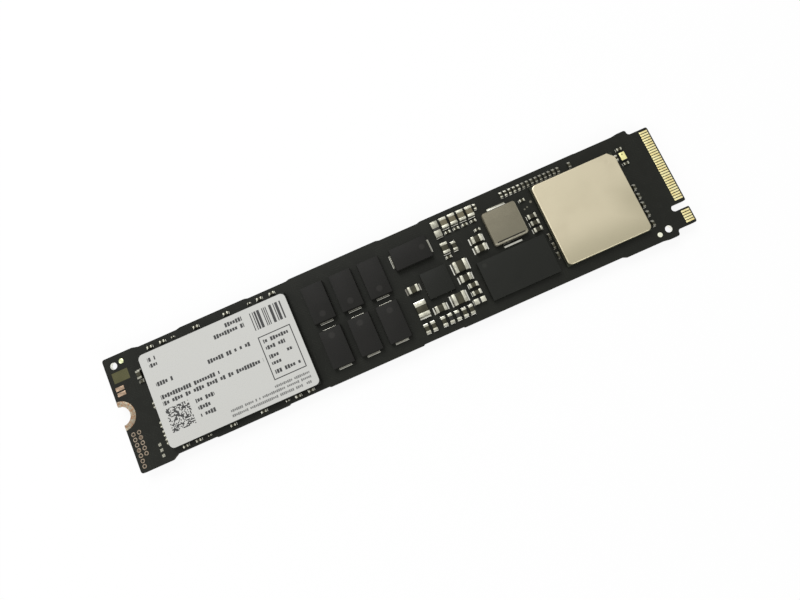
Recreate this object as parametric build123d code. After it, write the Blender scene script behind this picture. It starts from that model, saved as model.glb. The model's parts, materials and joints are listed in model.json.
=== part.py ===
from build123d import *
from collections import namedtuple
import os

# Solid state drive on a long narrow card, in millimetres.
# +X runs from the screw notch to the contact tongue, and +Z is the labelled side.
# The card lies on its lower memory packages, and the origin is below its middle.

# Zones along the card, from the screw end to the tip of the tongue
end_zone = 6.96
bank_gap = 2.87
power_gap = 2.08
first_column_inset = 1.42
power_chip_gap = 1.0
strip_gap = 0.8
buffer_gap = 1.1
controller_gap = 1.45
connector_zone = 8.48

# Circuit board
board_thickness = 0.8
upper_margin = 2.23
lower_margin = 1.77
corner_radius = 0.5
relief_inset = 6.6
relief_tongue_inset = 15.0
upper_relief = 0.13
lower_relief = 0.5
recess_length = 7.6
recess_slope = 1.2
recess_depth = 0.18
recess_inset = 11.0
second_recess_inset = 33.0
third_recess_inset = 59.5
tongue_recess_inset = 10.7
tooling_hole_diameter = 1.3
tooling_hole_inset = 1.8
tooling_hole_margin = 1.85
tongue_hole_inset = 5.4
window_length = 3.1
window_width = 2.0
window_inset = 0.85
window_y = 6.95
window_depth = 0.03

# Contact tongue
tongue_length = 4.0
tongue_bevel = 0.2
tongue_corner_radius = 0.5
shoulder_step = 1.075
shoulder_radius = 0.4
root_radius = 0.6
finger_width = 0.35
finger_gap = 0.15
finger_length = 1.6
finger_setback = 0.35
finger_count = 38
finger_key_start = 29
finger_key_count = 4
tongue_side_margin = 0.5
root_clearance = 0.05
key_width = 1.2
key_depth = 3.25
key_mouth_radius = 0.4
copper_thickness = 0.05

# Screw notch
notch_diameter = 3.5
ring_width = 1.0

# Bare metal on the upper face
test_ring_diameter = 0.84
test_ring_hole = 0.44
test_ring_gap = 0.16
test_ring_sides = 12
test_ring_inset = 1.0
test_ring_column_gap = 0.26
test_ring_first_gap = 1.15
long_ring_column = 7
short_ring_column = 5
filled_rings = ((0, 3), (1, 1))
strip_pad_count = 2
strip_pad_length = 1.6
strip_pad_width = 0.74
strip_pad_gap = 0.28
strip_pad_inset = 0.7
strip_pad_clearance = 0.7
test_pad_size = 0.55
test_pad_gap = 0.48
test_pad_count = 3
test_pad_inset = 4.85
test_pad_margin = 1.45
alignment_dot_diameter = 0.9
alignment_dot_inset = 3.4
alignment_dot_margin = 1.5
tongue_dot_inset = 7.3

# Memory packages and the label
memory_length = 14.0
memory_width = 18.0
memory_height = 1.0
memory_gap = 1.0
package_edge_bevel = 0.06
label_inset = 0.08
label_thickness = 0.08
label_corner_radius = 0.9
buffer_length = 13.3
buffer_width = 7.5
buffer_height = 0.85
buffer_y = -4.55
ball_height = 0.25
ball_diameter = 0.5
ball_sides = 6
ball_edge_inset = 1.2
ball_spacing = 4.0

# Controller
controller_length = 16.65
controller_width = 16.3
substrate_height = 0.3
lid_inset = 0.08
lid_height = 0.85
lid_roof = 0.5
lid_rim = 1.6
lid_corner_radius = 0.9
lid_corner_cut = 1.1
lid_edge_radius = 0.22
die_length = 9.0
die_width = 8.0
paste_thickness = 0.06

# Moulded hold-up capacitors
bank_columns = 3
case_length = 7.3
case_width = 4.3
case_height = 1.3
case_parting = 0.6
case_draft = 7
column_gap = 1.27
row_gap = 1.45
lone_case_y = 5.85
terminal_width = 2.5
terminal_thickness = 0.12
terminal_rise = 0.35
terminal_foot = 1.3

# Power inductor
coil_length = 6.6
coil_width = 6.5
coil_height = 1.15
coil_corner_radius = 0.45
coil_edge_bevel = 0.15
coil_y = 3.85
coil_gap = 0.37
coil_controller_gap = 3.65
coil_terminal_width = 3.6
coil_terminal_thickness = 0.15
coil_terminal_rise = 0.55
coil_terminal_reach = 0.55
coil_terminal_foot = 1.4

# Power chip
power_chip_size = 5.0
power_chip_height = 0.8
power_chip_y = -0.93
land_width = 0.3
land_length = 0.5
land_gap = 0.35
land_count = 6
land_thickness = 0.05
heat_land_size = 3.2

# Chip capacitors and resistors: overall size and the plated length at each end
large_length = 2.5
large_width = 2.1
large_height = 1.2
large_band = 0.6
medium_length = 2.0
medium_width = 1.3
medium_height = 1.05
medium_band = 0.5
small_length = 1.6
small_width = 0.85
small_height = 0.8
small_band = 0.38
tiny_length = 1.0
tiny_width = 0.5
tiny_height = 0.45
tiny_band = 0.28
mini_length = 0.6
mini_width = 0.3
mini_height = 0.28
mini_band = 0.16
fuse_length = 3.1
fuse_width = 1.3
fuse_height = 0.75
fuse_band = 1.3
diode_length = 2.2
diode_width = 1.0
diode_height = 0.8
diode_band = 0.9
plating = 0.05
wide_fillet = 0.45
tight_fillet = 0.2
fillet_share = 0.6
chip_gap = 0.65

# Chip places: rows keep a gap between neighbours, and the rest have their own heights across the card
strip_top = 1.05
left_medium_y = -0.4
left_large_y = -4.4
below_large_y = -5.3
below_medium_y = -5.6
small_row_gap = 0.5
small_row_margin = 3.0
small_row_inset = 0.8
small_row_break = 0.65
small_run_count = 5
upper_row_count = 4
upper_row_gap = 0.42
upper_row_margin = 2.37
upper_row_inset = 1.85
under_row_gap = 0.35
left_pair_y = 4.22
left_small_y = 3.92
left_tiny_y = 2.48
right_pair_y = 3.35
right_pair_setback = 0.93
right_pair_gap = 0.55
right_tiny_y = 5.0
coil_small_y = 1.79
coil_small_gap = 0.5
coil_small_clearance = 1.0
coil_tiny_y = 6.65
coil_tiny_clearance = 1.6
edge_row_gap = 0.39
edge_row_count = 14
edge_row_clearance = 0.48
edge_row_overlap = 1.5
edge_row_last = 8.75
memory_chip_offsets = (3.0, 9.7, 12.2)
memory_mini_offset = 7.6
upper_chip_clearance = 0.64
lower_chip_clearance = 0.1
end_small_clearance = 0.65
end_small_y = 5.7
end_tiny_y = 4.35
end_column_clearance = 0.2
end_column_ys = (-0.55, -4.3, -6.0, -7.5)
between_ys = (-1.6, -3.5, -5.4)
right_column_clearance = 0.7
right_column_ys = (0.35, -1.47, -3.24, -5.08)
right_corner_clearance = 0.25
right_corner_y = 6.75
right_last_y = -7.1
crystal_tiny_gap = 0.4
under_chip_gap = 2.2
under_chip_columns = 4
under_chip_rows = 3

# Crystal
crystal_length = 1.25
crystal_width = 1.7
crystal_base_height = 0.4
crystal_lid_height = 0.12
crystal_lid_inset = 0.1
crystal_clearance = 1.05
crystal_y = 6.58

Chip = namedtuple("Chip", "length width height band")
large = Chip(large_length, large_width, large_height, large_band)
medium = Chip(medium_length, medium_width, medium_height, medium_band)
small = Chip(small_length, small_width, small_height, small_band)
tiny = Chip(tiny_length, tiny_width, tiny_height, tiny_band)
mini = Chip(mini_length, mini_width, mini_height, mini_band)
fuse = Chip(fuse_length, fuse_width, fuse_height, fuse_band)
diode = Chip(diode_length, diode_width, diode_height, diode_band)

# Places along the card, counted from the screw end and then centred
memory_start = end_zone
memory_end = memory_start + 2 * memory_length + memory_gap
bank_start = memory_end + bank_gap
bank_end = bank_start + bank_columns * case_width + (bank_columns - 1) * column_gap
power_start = bank_end + power_gap
first_column = power_start + first_column_inset
power_chip_start = first_column + large_width / 2 + power_chip_gap
strip_column = power_chip_start + power_chip_size + strip_gap + wide_fillet + large_length / 2
strip_end = strip_column + large_length / 2 + wide_fillet
buffer_start = strip_end + buffer_gap
fuse_middle = power_start + case_length + upper_row_inset + fuse_width / 2
upper_pitch = medium_width + upper_row_gap
upper_row_first = fuse_middle + fuse_width / 2 + upper_row_gap + medium_width / 2
right_pair = upper_row_first + (upper_row_count - 1) * upper_pitch - right_pair_setback
right_pair_end = right_pair + medium_length / 2 + wide_fillet
coil_start = right_pair_end + coil_gap + coil_terminal_reach + coil_terminal_thickness
coil_end = coil_start + coil_length

# The controller stands clear of both the buffer memory and the inductor
controller_start = max(buffer_start + buffer_length + controller_gap, coil_end + coil_controller_gap)
card_length = controller_start + controller_length + connector_zone

# Contact rows: the lower one is staggered by half a pitch, and the key lies between the two
finger_pitch = finger_width + finger_gap
finger_span = (finger_count - 1) * finger_pitch
row_stagger = finger_pitch / 2
tongue_width = finger_span + finger_width + 2 * tongue_side_margin
key_middle = finger_key_start + (finger_key_count - 1) / 2
key_y = finger_span / 2 - key_middle * finger_pitch - row_stagger / 2

# The card is wide enough for both the memory packages and the tongue with its shoulders
card_width = max(memory_width + upper_margin + lower_margin, tongue_width + 2 * shoulder_step)

far_x = -card_length / 2
tip_x = card_length / 2
shoulder_x = tip_x - tongue_length
upper_edge = card_width / 2
lower_edge = -card_width / 2
memory_y = lower_edge + lower_margin + memory_width / 2
memory_mid_x = far_x + (memory_start + memory_end) / 2
memory_pitch = memory_length + memory_gap
buffer_x = far_x + buffer_start + buffer_length / 2
controller_x = far_x + controller_start + controller_length / 2
controller_left = controller_x - controller_length / 2
controller_right = controller_x + controller_length / 2
coil_x = far_x + coil_start + coil_length / 2
power_chip_x = far_x + power_chip_start + power_chip_size / 2

# Heights
board_bottom = ball_height + max(memory_height, buffer_height)
board_top = board_bottom + board_thickness
ring_radius = notch_diameter / 2 + ring_width

os.makedirs("parts", exist_ok=True)


def save(name, shapes):
    export_step(Compound(children=list(shapes)), f"parts/{name}.step")


def block(length, width, height, x, y, z):
    return Pos(x, y, z + height / 2) * Box(length, width, height)


def disc(diameter, height, x, y, z):
    return Pos(x, y, z + height / 2) * Cylinder(diameter / 2, height)


def on_board(shape, x, y, turn=0, side=1):
    # Pieces stand on the upper face, or hang upside down from the lower one.
    if side > 0:
        return Pos(x, y, board_top) * Rot(0, 0, turn) * shape
    return Pos(x, y, board_bottom) * Rot(180, 0, 0) * Rot(0, 0, turn) * shape


# Circuit board
def edge_cut(start, end, edge, depth):
    # Shallow cut into a long edge, with sloped ends.
    inward = -depth if edge > 0 else depth
    return Polygon(
        (start - recess_slope, edge),
        (start, edge + inward),
        (end, edge + inward),
        (end + recess_slope, edge),
        align=None,
    )


def long_edge(edge, relief):
    # The edge is relieved between the end zones, and cut deeper where panel tabs were broken off.
    relief_start = far_x + relief_inset + recess_slope
    relief_end = tip_x - relief_tongue_inset
    cuts = [edge_cut(relief_start, relief_end, edge, relief)]
    relieved = (far_x + recess_inset, far_x + second_recess_inset, far_x + third_recess_inset)
    for x in relieved:
        cuts.append(edge_cut(x - recess_length / 2, x + recess_length / 2, edge, relief + recess_depth))
    last = tip_x - tongue_recess_inset
    cuts.append(edge_cut(last - recess_length / 2, last + recess_length / 2, edge, recess_depth))
    return cuts


def circuit_board():
    body = Pos((far_x + shoulder_x) / 2, 0) * Rectangle(shoulder_x - far_x, card_width)
    body = fillet(body.vertices().group_by(Axis.X)[0], corner_radius)
    body = fillet(body.vertices().group_by(Axis.X)[-1], shoulder_radius)
    tongue = Pos(shoulder_x, 0) * Rectangle(2 * tongue_length, tongue_width)
    tongue = fillet(tongue.vertices().group_by(Axis.X)[-1], tongue_corner_radius)
    outline = body + tongue
    roots = outline.vertices().sort_by(lambda v: abs(v.X - shoulder_x) + abs(abs(v.Y) - tongue_width / 2))[:2]
    root_room = (card_width - tongue_width) / 2 - shoulder_radius - root_clearance
    outline = fillet(roots, min(root_radius, root_room))
    key_length = key_depth + key_width
    outline -= Pos(tip_x - key_depth + key_length / 2, key_y) * SlotOverall(key_length, key_width)
    mouth = outline.vertices().sort_by(lambda v: abs(v.X - tip_x) + abs(abs(v.Y - key_y) - key_width / 2))[:2]
    outline = fillet(mouth, key_mouth_radius)
    outline -= Pos(far_x, 0) * Circle(notch_diameter / 2 + copper_thickness)
    for cut in long_edge(upper_edge, upper_relief) + long_edge(lower_edge, lower_relief):
        outline -= cut
    hole = Circle(tooling_hole_diameter / 2)
    outline -= Pos(far_x + tooling_hole_inset, upper_edge - tooling_hole_margin) * hole
    outline -= Pos(tip_x - tongue_hole_inset, lower_edge + tooling_hole_margin) * hole
    card = Pos(0, 0, board_bottom) * extrude(outline, board_thickness)
    for z, inward in ((board_top, -tongue_bevel), (board_bottom, tongue_bevel)):
        bevel = Polyline((tip_x, z), (tip_x - tongue_bevel, z), (tip_x, z + inward), close=True)
        card -= extrude(make_face(Plane.XZ * bevel), card_width / 2, both=True)
    window_x = far_x + window_inset + window_length / 2
    card -= block(window_length, window_width, window_depth, window_x, window_y, board_top - window_depth)
    return card


save("circuit_board", [circuit_board()])


# Contact fingers, with the positions at the key left out
def contact_fingers(z, count, first_y):
    fingers = []
    x = tip_x - finger_setback - finger_length / 2
    for index in range(count):
        if finger_key_start <= index < finger_key_start + finger_key_count:
            continue
        y = first_y - index * finger_pitch
        fingers.append(block(finger_length, finger_width, copper_thickness, x, y, z))
    return fingers


save("upper_contact_fingers", contact_fingers(board_top, finger_count, finger_span / 2))
lower_first = finger_span / 2 - row_stagger
lower_fingers = contact_fingers(board_bottom - copper_thickness, finger_count - 1, lower_first)
save("lower_contact_fingers", lower_fingers)


# Plated half ring: a flat ring on each face, joined by the lining of the notch
def ground_ring():
    flat = Circle(ring_radius) - Circle(notch_diameter / 2)
    lining = Circle(notch_diameter / 2 + copper_thickness) - Circle(notch_diameter / 2)
    half = Pos(ring_radius, 0) * Rectangle(2 * ring_radius, 2 * ring_radius)
    upper = Pos(0, 0, board_top) * extrude(flat & half, copper_thickness)
    lower = Pos(0, 0, board_bottom - copper_thickness) * extrude(flat & half, copper_thickness)
    barrel = Pos(0, 0, board_bottom) * extrude(lining & half, board_thickness)
    return Pos(far_x, 0, 0) * (upper + barrel + lower)


save("ground_ring", [ground_ring()])


# Test rings in two columns, a few of them filled
def test_rings():
    rings = []
    for column, count in enumerate((long_ring_column, short_ring_column)):
        x = far_x + test_ring_inset + column * (test_ring_diameter + test_ring_column_gap)
        for index in range(count):
            y = -ring_radius - test_ring_first_gap - index * (test_ring_diameter + test_ring_gap)
            ring = RegularPolygon(test_ring_diameter / 2, test_ring_sides)
            if (column, index) not in filled_rings:
                ring -= RegularPolygon(test_ring_hole / 2, test_ring_sides)
            rings.append(Pos(x, y, board_top) * extrude(ring, copper_thickness))
    return rings


save("test_rings", test_rings())

pads = []
for index in range(test_pad_count):
    y = lower_edge + test_pad_margin + index * (test_pad_size + test_pad_gap)
    pads.append(block(test_pad_size, test_pad_size, copper_thickness, far_x + test_pad_inset, y, board_top))
save("test_pads", pads)

strips = []
strip_pad_x = far_x + strip_pad_inset + strip_pad_length / 2
strip_pad_y = ring_radius + strip_pad_clearance + strip_pad_width / 2
for index in range(strip_pad_count):
    y = strip_pad_y + index * (strip_pad_width + strip_pad_gap)
    strips.append(block(strip_pad_length, strip_pad_width, copper_thickness, strip_pad_x, y, board_top))
save("copper_strip_pads", strips)

dot_places = [
    (far_x + alignment_dot_inset, upper_edge - alignment_dot_margin),
    (tip_x - tongue_dot_inset, lower_edge + alignment_dot_margin),
]
dots = [disc(alignment_dot_diameter, copper_thickness, x, y, board_top) for x, y in dot_places]
save("alignment_dots", dots)


# Moulded packages on solder balls
def package(length, width, height):
    body = block(length, width, height, 0, 0, ball_height)
    return chamfer(body.edges().group_by(Axis.Z)[-1], package_edge_bevel)


def ball_grid(length, width):
    # Six-sided joints in rows that start one inset from the package edge.
    columns = int((length - 2 * ball_edge_inset) / ball_spacing) + 1
    rows = int((width - 2 * ball_edge_inset) / ball_spacing) + 1
    ball = extrude(RegularPolygon(ball_diameter / 2, ball_sides), ball_height)
    spread_x = (length - 2 * ball_edge_inset) / (columns - 1)
    spread_y = (width - 2 * ball_edge_inset) / (rows - 1)
    return [place * ball for place in GridLocations(spread_x, spread_y, columns, rows)]


memory_places = {"left": memory_mid_x - memory_pitch / 2, "right": memory_mid_x + memory_pitch / 2}
sides = {"upper": 1, "lower": -1}
for side_name, side in sides.items():
    memory_balls = []
    for place_name, x in memory_places.items():
        memory = package(memory_length, memory_width, memory_height)
        save(f"{side_name}_memory_{place_name}", [on_board(memory, x, memory_y, side=side)])
        balls = ball_grid(memory_length, memory_width)
        memory_balls += [on_board(ball, x, memory_y, side=side) for ball in balls]
    save(f"{side_name}_memory_balls", memory_balls)
    buffer = package(buffer_length, buffer_width, buffer_height)
    save(f"{side_name}_buffer_memory", [on_board(buffer, buffer_x, buffer_y, side=side)])
    balls = ball_grid(buffer_length, buffer_width)
    save(f"{side_name}_buffer_balls", [on_board(ball, buffer_x, buffer_y, side=side) for ball in balls])

label_length = 2 * memory_length + memory_gap - 2 * label_inset
label_face = RectangleRounded(label_length, memory_width - 2 * label_inset, label_corner_radius)
label_z = board_top + ball_height + memory_height
save("label", [Pos(memory_mid_x, memory_y, label_z) * extrude(label_face, label_thickness)])


# Controller: substrate on balls, die, heat paste and a stamped lid with one cut corner
lid_length = controller_length - 2 * lid_inset
lid_width = controller_width - 2 * lid_inset
lid_z = board_top + ball_height + substrate_height
cavity_height = lid_height - lid_roof


def controller_lid():
    outline = Rectangle(lid_length, lid_width)
    corners = outline.vertices().sort_by(lambda corner: corner.X + corner.Y)
    outline = chamfer(corners[-1], lid_corner_cut)
    square_corners = outline.vertices().sort_by(lambda corner: corner.X + corner.Y)[:3]
    outline = fillet(square_corners, lid_corner_radius)
    lid = extrude(outline, lid_height)
    lid = fillet(lid.edges().group_by(Axis.Z)[-1], lid_edge_radius)
    cavity = RectangleRounded(lid_length - 2 * lid_rim, lid_width - 2 * lid_rim, lid_corner_radius)
    return lid - extrude(cavity, cavity_height)


balls = ball_grid(controller_length, controller_width)
save("controller_balls", [on_board(ball, controller_x, 0) for ball in balls])
substrate = block(controller_length, controller_width, substrate_height, 0, 0, ball_height)
save("controller_substrate", [on_board(substrate, controller_x, 0)])
die_height = cavity_height - paste_thickness
paste_z = lid_z + die_height
save("controller_die", [block(die_length, die_width, die_height, controller_x, 0, lid_z)])
save("controller_heat_paste", [block(die_length, die_width, paste_thickness, controller_x, 0, paste_z)])
save("controller_lid", [Pos(controller_x, 0, lid_z) * controller_lid()])


# Moulded capacitors: a case drafted both ways from its parting line, on two folded terminals
def capacitor_case():
    middle = Rectangle(case_length, case_width)
    lower = extrude(middle, case_parting - terminal_thickness, dir=(0, 0, -1), taper=case_draft)
    upper = extrude(middle, case_height - case_parting, taper=case_draft)
    return Pos(0, 0, case_parting) * (lower + upper)


def folded_terminal(half_length, width, thickness, rise, foot):
    # Strip that comes down the end of a case and turns in under it.
    strip = Polyline(
        (half_length, rise),
        (half_length + thickness, rise),
        (half_length + thickness, 0),
        (half_length - foot, 0),
        (half_length - foot, thickness),
        (half_length, thickness),
        close=True,
    )
    face = make_face(Plane.XZ * strip)
    return extrude(face, width / 2, both=True)


bank_pitch = case_width + column_gap
bank_first = far_x + bank_start + case_width / 2
row_y = (row_gap + case_length) / 2
bank_xs = [bank_first + column * bank_pitch for column in range(bank_columns)]
case_places = [(x, y, 90) for y in (row_y, -row_y) for x in bank_xs]
lone_case_x = far_x + power_start + case_length / 2
case_places.append((lone_case_x, lone_case_y, 0))
case = capacitor_case()
case_terminal = folded_terminal(
    case_length / 2, terminal_width, terminal_thickness, terminal_rise, terminal_foot
)
case_terminals = []
for number, (x, y, turn) in enumerate(case_places, 1):
    save(f"hold_up_capacitor_{number}", [on_board(case, x, y, turn)])
    case_terminals.append(on_board(case_terminal, x, y, turn))
    case_terminals.append(on_board(case_terminal, x, y, turn + 180))
save("capacitor_terminals", case_terminals)


# Power inductor: a pressed core over two folded terminals
def inductor_core():
    outline = RectangleRounded(coil_length, coil_width, coil_corner_radius)
    core = Pos(0, 0, coil_terminal_thickness) * extrude(outline, coil_height)
    return chamfer(core.edges().group_by(Axis.Z)[-1], coil_edge_bevel)


coil_terminal = folded_terminal(
    coil_width / 2, coil_terminal_width, coil_terminal_thickness, coil_terminal_rise, coil_terminal_foot
)
coil_toe = block(
    coil_terminal_reach,
    coil_terminal_width,
    coil_terminal_thickness,
    coil_width / 2 + coil_terminal_thickness + coil_terminal_reach / 2,
    0,
    0,
)
coil_terminal += coil_toe
save("inductor_core", [on_board(inductor_core(), coil_x, coil_y)])
save("inductor_terminals", [on_board(coil_terminal, coil_x, coil_y, turn) for turn in (90, 270)])


# Power chip on its lands
def power_chip_lands():
    lands = [block(heat_land_size, heat_land_size, land_thickness, 0, 0, 0)]
    inset = power_chip_size / 2 - land_length / 2
    for turn in range(0, 360, 90):
        for index in range(land_count):
            y = (index - (land_count - 1) / 2) * (land_width + land_gap)
            lands.append(Rot(0, 0, turn) * block(land_length, land_width, land_thickness, inset, y, 0))
    return lands


power_body = block(power_chip_size, power_chip_size, power_chip_height, 0, 0, land_thickness)
save("power_chip", [on_board(power_body, power_chip_x, power_chip_y)])
save("power_chip_lands", [on_board(land, power_chip_x, power_chip_y) for land in power_chip_lands()])


# Chip parts: a body let into a plated cap at each end
def chip_body(chip):
    length, width, height = (size - 2 * plating for size in (chip.length, chip.width, chip.height))
    return block(length, width, height, 0, 0, plating)


def chip_end(chip):
    cap = block(chip.band, chip.width, chip.height, (chip.length - chip.band) / 2, 0, 0)
    return cap - chip_body(chip)


def plain_body(chip):
    return block(chip.length - 2 * chip.band, chip.width - plating, chip.height - plating, 0, 0, plating / 2)


def plain_end(chip):
    return block(chip.band, chip.width, chip.height, (chip.length - chip.band) / 2, 0, 0)


def solder_fillet(chip, reach):
    start = chip.length / 2
    wedge = Polyline((start, 0), (start + reach, 0), (start, fillet_share * chip.height), close=True)
    return extrude(make_face(Plane.XZ * wedge), chip.width / 2, both=True)


def place_chips(chip, places, body, end, side=1):
    bodies = [on_board(body(chip), x, y, turn, side) for x, y, turn in places]
    ends = [on_board(end(chip), x, y, turn + flip, side) for x, y, turn in places for flip in (0, 180)]
    return bodies, ends


solder = []


def add_fillets(chip, places, reach):
    wedge = solder_fillet(chip, reach)
    for x, y, turn in places:
        solder.append(on_board(wedge, x, y, turn))
        solder.append(on_board(wedge, x, y, turn + 180))


# Chips round the power chip: a stacked column before the buffer memory, and two columns on the other side
first_x = far_x + first_column
strip_x = far_x + strip_column
strip_ys = []
next_top = strip_top
for chip in (large, medium, small, small, diode):
    strip_ys.append(next_top - chip.width / 2)
    next_top -= chip.width + chip_gap
strip_small_x = far_x + strip_end - tight_fillet - small_length / 2
below_medium_x = first_x + large_width / 2 + chip_gap + wide_fillet + medium_length / 2
below_large_x = below_medium_x + medium_length / 2 + 2 * wide_fillet + chip_gap + large_length / 2

# Row of small chips along the lower edge, in a pair and a longer run
small_row_y = lower_edge + small_row_margin
small_pitch = small_width + small_row_gap
small_first = far_x + power_start + small_row_inset
small_pair = [small_first, small_first + small_pitch]
small_run_first = small_pair[-1] + small_row_break + small_pitch
small_run = [small_run_first + index * small_pitch for index in range(small_run_count)]
resistor_xs = small_run[1:3]
capacitor_xs = small_pair + small_run[:1] + small_run[3:]

# Fuse and medium chips along the upper edge, with tiny ones under them
fuse_x = far_x + fuse_middle
upper_row_y = upper_edge - upper_row_margin
upper_row = [far_x + upper_row_first + index * upper_pitch for index in range(upper_row_count)]
fuse_y = upper_row_y + medium_length / 2 - fuse_length / 2
under_row_y = upper_row_y - medium_length / 2 - tight_fillet - under_row_gap - tiny_width / 2
row_end_x = upper_row[-1] + medium_width / 2 + upper_row_gap + tiny_width / 2
left_small_x = fuse_x + medium_width / 2 + chip_gap + small_width / 2
right_pair_x = far_x + right_pair
right_pair_pitch = medium_width + right_pair_gap

# Chips beside the inductor, round the controller and at the screw end
coil_small_x = controller_left - coil_small_clearance - small_length / 2
coil_small_pitch = small_width + coil_small_gap
coil_tiny_x = controller_left - coil_tiny_clearance - tiny_length / 2
edge_row_y = controller_width / 2 + edge_row_clearance + tiny_length / 2
edge_first = coil_x + coil_length / 2 - edge_row_overlap
edge_row = [edge_first + index * (tiny_width + edge_row_gap) for index in range(edge_row_count)]
edge_row.append(controller_left + edge_row_last)
end_small_x = far_x + memory_start - end_small_clearance - small_width / 2
end_column_x = far_x + memory_start - end_column_clearance - tiny_width / 2
between_x = controller_left - controller_gap / 2 + tiny_width / 2
right_column_x = controller_right + right_column_clearance + tiny_width / 2
right_corner_x = controller_right + right_corner_clearance + tiny_width / 2
crystal_x = controller_right + crystal_clearance + crystal_length / 2
crystal_reach = crystal_width / 2 + crystal_tiny_gap + tiny_width / 2

large_places = [
    (strip_x, strip_ys[0], 0),
    (first_x, left_large_y, 90),
    (below_large_x, below_large_y, 0),
]
medium_wide_places = [
    (strip_x, strip_ys[1], 0),
    (first_x, left_medium_y, 0),
    (below_medium_x, below_medium_y, 0),
    (right_pair_x, right_pair_y, 0),
    (right_pair_x, right_pair_y - right_pair_pitch, 0),
]
medium_tight_places = [(x, upper_row_y, 90) for x in upper_row]
medium_tight_places.append((fuse_x, left_pair_y, 90))
small_places = [(x, small_row_y, 90) for x in capacitor_xs]
small_places += [(coil_small_x, coil_small_y + index * coil_small_pitch, 0) for index in (-1, 0, 1)]
small_places += [
    (strip_small_x, strip_ys[2], 0),
    (strip_small_x, strip_ys[3], 0),
    (left_small_x, left_small_y, 90),
    (end_small_x, end_small_y, 90),
]
resistor_places = [(x, small_row_y, 90) for x in resistor_xs]
diode_places = [(far_x + strip_end - diode_length / 2, strip_ys[4], 0)]
fuse_places = [(fuse_x, fuse_y, 90)]

# Tiny chips along both long sides of the memory pair, the same above and below the board
memory_upper_y = memory_y + memory_width / 2 + upper_chip_clearance + tiny_width / 2
memory_lower_y = memory_y - memory_width / 2 - lower_chip_clearance - tiny_width / 2
memory_tiny_places = []
mini_places = []
for y in (memory_upper_y, memory_lower_y):
    for mirror in (-1, 1):
        memory_tiny_places += [(memory_mid_x + mirror * offset, y, 0) for offset in memory_chip_offsets]
        mini_places.append((memory_mid_x + mirror * memory_mini_offset, y, 0))

tiny_places = list(memory_tiny_places)
tiny_places += [(x, under_row_y, 0) for x in upper_row]
tiny_places += [(x, edge_row_y, 90) for x in edge_row]
tiny_places += [(end_column_x, y, 90) for y in end_column_ys]
tiny_places += [(between_x, y, 90) for y in between_ys]
tiny_places += [(right_column_x, y, 90) for y in right_column_ys]
tiny_places += [
    (row_end_x, upper_row_y + tiny_length / 2, 90),
    (fuse_x, left_tiny_y, 0),
    (right_pair_x + right_pair_setback, right_tiny_y, 0),
    (coil_tiny_x, coil_tiny_y, 0),
    (end_small_x, end_tiny_y, 0),
    (right_corner_x, right_corner_y, 90),
    (right_column_x, right_last_y, 90),
    (crystal_x, crystal_y + crystal_reach, 0),
    (crystal_x, crystal_y - crystal_reach, 0),
]

lower_places = list(memory_tiny_places)
under_chip_pitch = tiny_length + under_chip_gap
for place in GridLocations(under_chip_pitch, under_chip_pitch, under_chip_columns, under_chip_rows):
    lower_places.append((controller_x + place.position.X, place.position.Y, 0))


def save_chips(name, chip, places, body=chip_body, end=chip_end, side=1):
    bodies, ends = place_chips(chip, places, body, end, side)
    save(f"{name}_bodies", bodies)
    save(f"{name}_ends", ends)


save_chips("large_capacitor", large, large_places)
save_chips("medium_capacitor", medium, medium_wide_places + medium_tight_places)
save_chips("small_capacitor", small, small_places)
save_chips("small_resistor", small, resistor_places)
save_chips("fuse", fuse, fuse_places)
save_chips("diode", diode, diode_places)
save_chips("tiny_chip", tiny, tiny_places, plain_body, plain_end)
save_chips("mini_chip", mini, mini_places, plain_body, plain_end)
save_chips("lower_chip", tiny, lower_places, plain_body, plain_end, side=-1)

add_fillets(large, large_places, wide_fillet)
add_fillets(medium, medium_wide_places, wide_fillet)
add_fillets(medium, medium_tight_places, tight_fillet)
add_fillets(small, small_places + resistor_places, tight_fillet)
save("solder_fillets", solder)

# Crystal: a ceramic base under a welded metal lid
crystal_base = block(crystal_length, crystal_width, crystal_base_height, 0, 0, 0)
crystal_lid_length = crystal_length - 2 * crystal_lid_inset
crystal_lid_width = crystal_width - 2 * crystal_lid_inset
crystal_lid = block(crystal_lid_length, crystal_lid_width, crystal_lid_height, 0, 0, crystal_base_height)
save("crystal_base", [on_board(crystal_base, crystal_x, crystal_y)])
save("crystal_lid", [on_board(crystal_lid, crystal_x, crystal_y)])
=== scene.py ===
import json
import math

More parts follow.
